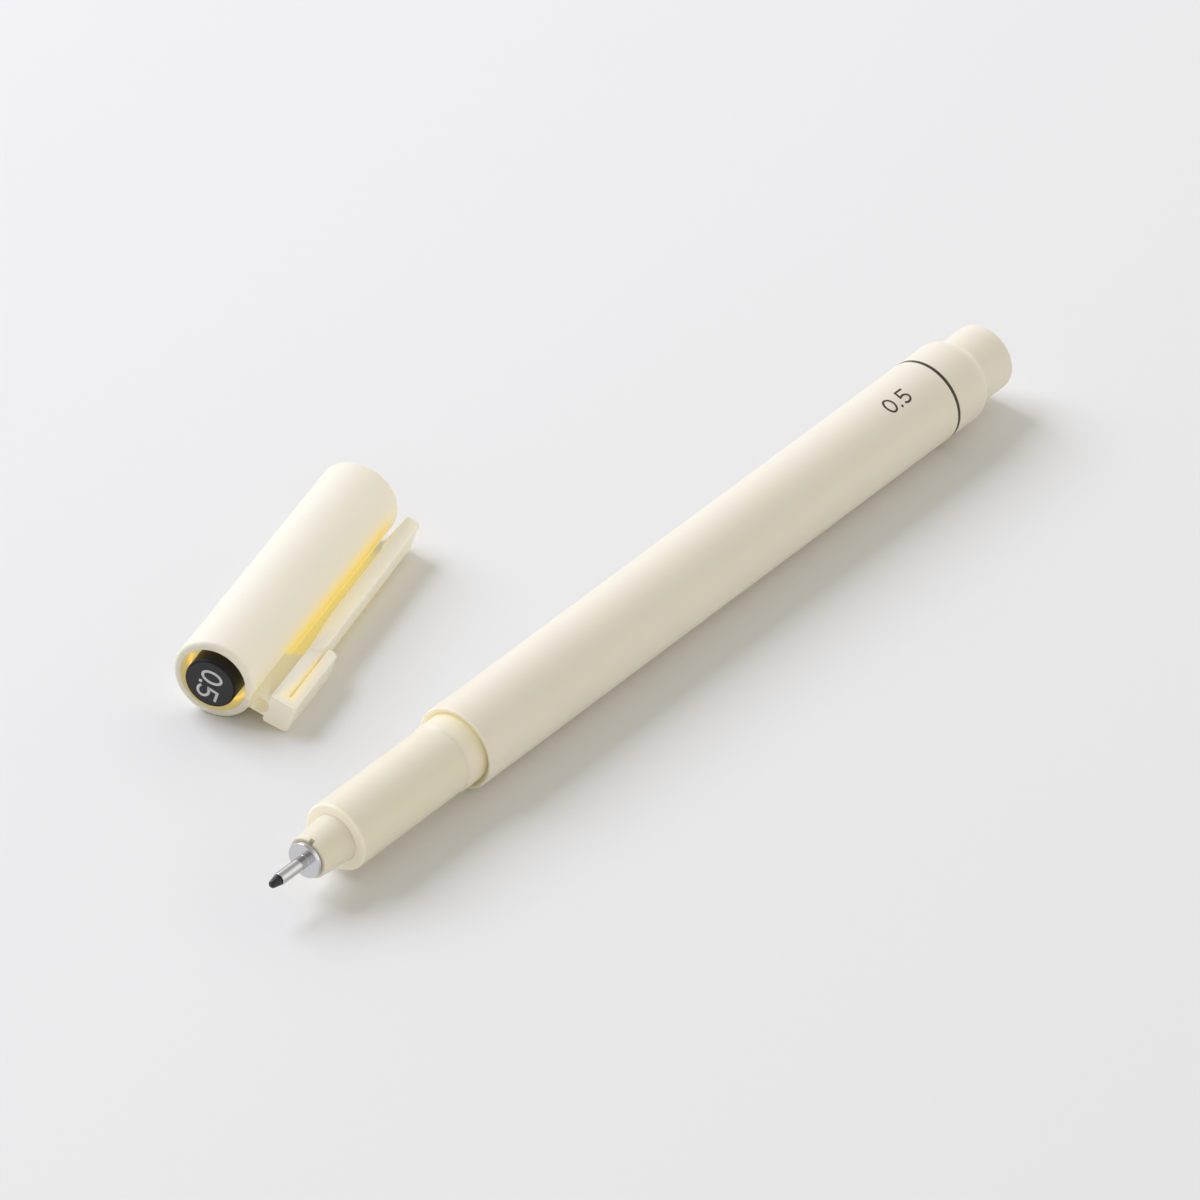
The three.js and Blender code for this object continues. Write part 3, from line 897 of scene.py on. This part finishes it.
DIMPLE_RADIUS = 0.97
DIMPLE_DEPTH = 2.55
DIMPLE_HEIGHT = 6.0
CLIP_BEVEL = 0.2
cap_plastic = cream_plastic("cap_plastic", (0.84, 0.80, 0.665), lit=True)


def slab_mesh(name, corners, width, material, bevel=0.0, flush_end=None):
    """Closed slab of an outline in the cap's length and radius, lying across the clip's width.

    The rims of both faces are bevelled, but not where they lie in the flush end.
    """
    points = rounded_outline(corners, steps=8)
    work = bmesh.new()
    near = [work.verts.new((x, -width / 2, r)) for x, r in points]
    far = [work.verts.new((x, width / 2, r)) for x, r in points]
    near_face, far_face = work.faces.new(near), work.faces.new(reversed(far))
    for i in range(len(points)):
        k = (i + 1) % len(points)
        work.faces.new((near[i], far[i], far[k], near[k]))
    if bevel:
        rims = [
            edge for edge in (*near_face.edges, *far_face.edges)
            if flush_end is None or any(abs(vert.co.x - flush_end) > 1e-6 for vert in edge.verts)
        ]
        bmesh.ops.bevel(work, geom=rims, offset=bevel, segments=4, profile=0.5, affect="EDGES")
    bmesh.ops.recalc_face_normals(work, faces=work.faces)
    mesh = bpy.data.meshes.new(name)
    work.to_mesh(mesh)
    work.free()
    mesh.materials.append(material)
    return mesh


cap_tube = turned_mesh("cap_tube", [
    (0, LIP_RADIUS, 0.08),
    (0, CAP_RADIUS, 0.5),
    *[(STATION_START + STATION_STEP * i, CAP_RADIUS) for i in range(STATION_COUNT)],
    (CAP_LENGTH, CAP_RADIUS, 0.24),
    (CAP_LENGTH, CAP_BORE),
    (LIP_DEPTH, CAP_BORE),
    (LIP_DEPTH, LIP_RADIUS),
], cap_plastic)
plug_collar = turned_mesh("plug_collar", [
    (COLLAR_START, PLUG_RADIUS + 0.05),
    (COLLAR_START, PLUG_RADIUS + COLLAR_WALL, 0.1),
    (COLLAR_END, PLUG_RADIUS + COLLAR_WALL),
    (COLLAR_END, PLUG_RADIUS + 0.05),
], cap_plastic, sides=96)
spokes = bars_round_axis(
    "spokes", COLLAR_START, COLLAR_END, SPOKE_INNER, SPOKE_OUTER, SPOKE_WIDTH, SPOKE_COUNT,
    cap_plastic, first_turn=math.pi,
)
clip_web = slab_mesh("clip_web", [
    (CLIP_START, WEB_ROOT),
    (WEB_SHELL_END, WEB_ROOT),
    (WEB_SHELL_END, CAP_RADIUS),
    (WEB_BAR_END - 0.35, CLIP_UNDERSIDE + 0.3),
    (CLIP_JOIN - 0.1, WEB_TOP),
    (CLIP_START, WEB_TOP),
], WEB_WIDTH, cap_plastic)
clip_block = slab_mesh("clip_block", [
    (CLIP_START, CLIP_UNDERSIDE, 0.2),
    (CLIP_JOIN, CLIP_UNDERSIDE),
    (CLIP_JOIN, CLIP_TOP),
    (SLIT_START, CLIP_TOP, 0.08),
    (SLIT_START, CLIP_TOP + CLIP_SLIT, 0.08),
    (TAB_END, CLIP_TOP + CLIP_SLIT, 0.15),
    (TAB_END, CLIP_REACH, 0.55),
    (CLIP_START, CLIP_REACH, 0.25),
], CLIP_WIDTH, cap_plastic, bevel=CLIP_BEVEL, flush_end=CLIP_JOIN)
dimple = turned_mesh("dimple", [
    (-1, 0),
    (-1, DIMPLE_RADIUS),
    (DIMPLE_DEPTH, DIMPLE_RADIUS),
    (DIMPLE_DEPTH, 0),
], cap_plastic, sides=64, closed=False)
dimple.transform(Matrix.Translation((0, 0, DIMPLE_HEIGHT)))
for part in (clip_web, clip_block, dimple):
    part.transform(clip_swing)
cap = finished("cap_moulding", joined("cap", cap_tube, [
    (plug_collar, "UNION"), (spokes, "UNION"), (clip_web, "UNION"), (clip_block, "UNION"),
    (dimple, "DIFFERENCE"),
]), cap_place)

# Painted yellow and painted light on the cap, in place of light that comes through its thin walls: inside the
# tube, on the wall under the clip, in the dimple, web and slit.
BORE_PAINTED_YELLOW = 0.7
BORE_LIGHT = 0.32
BELLY_PAINTED_YELLOW = 0.8
BELLY_LIGHT = 0.6
UPPER_LIGHT = 0.08
DIMPLE_GLOW = (0.12, 0.16)
DIMPLE_RIM_GLOW = (0.0, 0.1)
WEB_GLOW = (0.35, 0.05)
SLIT_GLOW = (0.4, 0.2)
CLIP_FRONT_GLOW = (0.0, 0.12)
CLIP_GLOW = (0.0, 0.06)


def wall_painted_light(point):
    """Painted yellow and painted light on the tube's outside, by the place along it and the turn from the clip."""
    turn = math.degrees(math.atan2(abs(point.y), point.z))
    along = smooth_step(5.5, 9.5, point.x) * fading(34, 38.4, point.x)
    # On the side towards the table the painted light is strong enough to throw yellow light onto the table beside
    # it.
    if point.y < 0:
        belly = (0.4 + 0.6 * smooth_step(0, 10, turn)) * fading(45, 90, turn)
        return BELLY_PAINTED_YELLOW * along * fading(60, 120, turn), BELLY_LIGHT * along * belly
    yellow = (0.1 + 0.7 * along) * fading(2, 42, turn)
    light = UPPER_LIGHT * fading(60, 115, turn) + (0.04 + 0.12 * along) * fading(0, 42, turn)
    return yellow, light


def cap_painted_light(point):
    """Painted yellow and painted light inside the tube and lip, on the wall under the clip, and in its slit."""
    radius = math.hypot(point.y, point.z)
    if radius < CAP_BORE + TOUCH and point.x > 0.05:
        return BORE_PAINTED_YELLOW, BORE_LIGHT * fading(2, 9, point.x)
    beside_web = point.x > WEB_SHELL_END + TOUCH or abs(point.y) > WEB_WIDTH / 2 + 0.05
    if radius < CAP_RADIUS + 0.1 and (point.z < CAP_RADIUS - 0.25 or beside_web):
        return wall_painted_light(point)
    if point.x < DIMPLE_DEPTH + 0.05 and math.hypot(point.y, point.z - DIMPLE_HEIGHT) < DIMPLE_RADIUS + 0.03:
        return DIMPLE_GLOW if point.x > CLIP_START + 0.05 else DIMPLE_RIM_GLOW
    if abs(point.y) < WEB_WIDTH / 2 + TOUCH and point.z < CLIP_UNDERSIDE + TOUCH:
        return WEB_GLOW
    if point.x > SLIT_START - 0.1 and CLIP_TOP - TOUCH < point.z < CLIP_TOP + CLIP_SLIT + TOUCH:
        return SLIT_GLOW
    return CLIP_FRONT_GLOW if point.x < CLIP_START + 0.3 else CLIP_GLOW


paint_glow(cap, cap_place @ clip_swing, cap_painted_light)
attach(cap, "cap")
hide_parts("cap_shell")


# Clip arm: the long springy end of the same moulding, a flat bar that bends at its root when the
# cap is slid over a pocket. A small bump under its end grips the cloth.
ARM_START = 10.8
ARM_END = 37.66
ARM_UNDERSIDE_ROOT = 6.3
ARM_UNDERSIDE_TIP = 6.14
ARM_TOP_ROOT = 8.2
ARM_TOP_TIP = 7.92
ARM_EASE = 7.0
ARM_STEPS = 24
BUMP_PLACE = ARM_END - 5.1
BUMP_HALF = 1.2
BUMP_HEIGHT = 0.4


def arm_line(place, root, tip):
    """Radius of the arm's top or underside at a place along the cap."""
    return root + (tip - root) * (place - ARM_START) / (ARM_END - ARM_START)


def arm_under(place):
    """Radius of the arm's underside, which leaves the block's underside in an even curve."""
    eased = fading(CLIP_JOIN, CLIP_JOIN + ARM_EASE, place)
    straight = arm_line(place, ARM_UNDERSIDE_ROOT, ARM_UNDERSIDE_TIP)
    return straight + (CLIP_UNDERSIDE - ARM_UNDERSIDE_ROOT) * eased


arm_places = [
    ARM_START + (BUMP_PLACE - BUMP_HALF - ARM_START) * i / ARM_STEPS for i in range(ARM_STEPS + 1)
]
bump_base = arm_line(BUMP_PLACE, ARM_UNDERSIDE_ROOT, ARM_UNDERSIDE_TIP)
arm_mesh = slab_mesh("clip_arm", [
    (CLIP_JOIN, CLIP_UNDERSIDE),
    *[(x, arm_under(x)) for x in arm_places],
    (BUMP_PLACE - 0.5, bump_base - BUMP_HEIGHT * 0.75),
    (BUMP_PLACE, bump_base - BUMP_HEIGHT),
    (BUMP_PLACE + 0.5, bump_base - BUMP_HEIGHT * 0.75),
    (BUMP_PLACE + BUMP_HALF, arm_line(BUMP_PLACE + BUMP_HALF, ARM_UNDERSIDE_ROOT, ARM_UNDERSIDE_TIP)),
    (ARM_END, ARM_UNDERSIDE_TIP, 0.15),
    (ARM_END, ARM_TOP_TIP, 0.35),
    *[(x, arm_line(x, ARM_TOP_ROOT, ARM_TOP_TIP)) for x in reversed(arm_places)],
    (CLIP_JOIN, CLIP_TOP),
], CLIP_WIDTH, cap_plastic, bevel=CLIP_BEVEL, flush_end=CLIP_JOIN)
arm_mesh.transform(clip_swing)
arm = finished("clip_arm_bar", arm_mesh, cap_place)

# Painted yellow and painted light on the clip arm, in place of light that comes through the plastic.
ARM_UNDER_GLOW = (0.4, 0.1)
ARM_PAINTED_YELLOW = 0.05
ARM_TOP_LIGHT = 0.10


def arm_painted_light(point):
    """Painted yellow and painted light on the underside, where it faces the cap, and a little painted light in the
    top.
    """
    if point.z < arm_under(point.x) + 0.03:
        return ARM_UNDER_GLOW
    return ARM_PAINTED_YELLOW, ARM_TOP_LIGHT * smooth_step(7.0, 8.0, point.z)


paint_glow(arm, cap_place @ clip_swing, arm_painted_light)
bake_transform(arm)
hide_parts("clip_arm")


# Inner cap: a moulded cup held by its flange on the step inside the cap. It seals over the nose so
# that the nib doesn't dry, and three notches in the flange let air past it.
INNER_START = 5.55
INNER_END = 17.61
INNER_BORE = 3.13
INNER_RADIUS = 3.73
FLANGE_OUTER = 4.24
FLANGE_THICKNESS = 0.8
NOTCH_COUNT = 3
NOTCH_START = 4.5
NOTCH_END = 7.4
NOTCH_OUTER = 5.0
NOTCH_WIDTH = 1.6
inner_plastic = cream_plastic("inner_cap_plastic", (0.84, 0.76, 0.50), roughness=0.35)
inner_cup = turned_mesh("inner_cup", [
    (INNER_START, 0),
    (INNER_START, FLANGE_OUTER, 0.1),
    (INNER_START + FLANGE_THICKNESS, FLANGE_OUTER, 0.1),
    (INNER_START + FLANGE_THICKNESS, INNER_RADIUS, 0.15),
    (INNER_END, INNER_RADIUS, 0.15),
    (INNER_END, INNER_BORE, 0.12),
    (INNER_START + FLANGE_THICKNESS, INNER_BORE, 0.3),
    (INNER_START + FLANGE_THICKNESS, 0),
], inner_plastic, closed=False)
flange_notches = bars_round_axis(
    "notches", NOTCH_START, NOTCH_END, INNER_RADIUS, NOTCH_OUTER, NOTCH_WIDTH, NOTCH_COUNT, inner_plastic,
)
inner_cap = finished(
    "inner_cap_cup", joined("inner", inner_cup, [(flange_notches, "DIFFERENCE")]), cap_place,
)
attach(inner_cap, "cap")
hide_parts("inner_cap")


# Cap plug: the black round marker pressed into the collar in the cap's closed end, standing
# proud of it. Its face is a matt greyer black, with the number for the line width in pale grey.
PLUG_END = 5.25
PLUG_GRAIN = 4200.0
black_plastic, black_tree, black_shader = plain_material(
    "plug_plastic", (0.014, 0.014, 0.018), 0.42, Specular_IOR_Level=0.12,
)
black_grain = object_noise(black_tree, PLUG_GRAIN, Detail=3.0)
vary_roughness(black_tree, black_shader, black_grain, 0.36, 0.50)
add_bumps(black_tree, black_shader, black_grain, strength=0.15, distance=0.00002)
matt_face, matt_tree, matt_shader = plain_material(
    "plug_face_plastic", (0.046, 0.046, 0.047), 0.5, Specular_IOR_Level=0.15,
)
matt_grain = object_noise(matt_tree, PLUG_GRAIN, Detail=3.0)
add_bumps(matt_tree, matt_shader, matt_grain, strength=0.15, distance=0.00002)
plug = finished("plug_marker", turned_mesh("plug", [
    (-PLUG_PROUD, 0),
    (-PLUG_PROUD, PLUG_RADIUS, 0.25),
    (PLUG_END, PLUG_RADIUS, 0.2),
    (PLUG_END, 0),
], black_plastic, closed=False), cap_place)


def on_face(point):
    """Whether a point lies on the plug's flat face."""
    return point.x < -PLUG_PROUD + TOUCH


paint_faces(plug, cap_place, matt_face, on_face)
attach(plug, "cap")
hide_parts("cap_plug")

PLUG_NUMBER_TURN = math.radians(17.5)
PLUG_NUMBER_SHIFT = 0.15
pale_ink, pale_tree, pale_shader = plain_material("plug_number_ink", (0.62, 0.62, 0.63), 0.5)
pale_wear = object_noise(pale_tree, 2500.0, Detail=3.0)
pale_colour = two_tone(pale_tree, pale_wear, (0.52, 0.52, 0.53), (0.70, 0.70, 0.71))
pale_tree.links.new(pale_colour, pale_shader.inputs["Base Color"])
number_up = Vector((0, -math.cos(PLUG_NUMBER_TURN), -math.sin(PLUG_NUMBER_TURN)))
number_across = Vector((1, 0, 0)).cross(number_up)


def on_plug(across, up, height):
    """Point on the plug's face, with the tops of the digits towards the clip."""
    across += PLUG_NUMBER_SHIFT
    return Vector((-PLUG_PROUD - height, 0, 0)) + number_across * across + number_up * up


plug_number_mesh = number_piece(
    "plug_number", on_plug, pale_ink, height=2.65, digit_width=1.75, gap=0.06, stroke=0.33,
)
plug_number = finished("plug_number", plug_number_mesh, cap_place)
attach(plug_number, "cap")
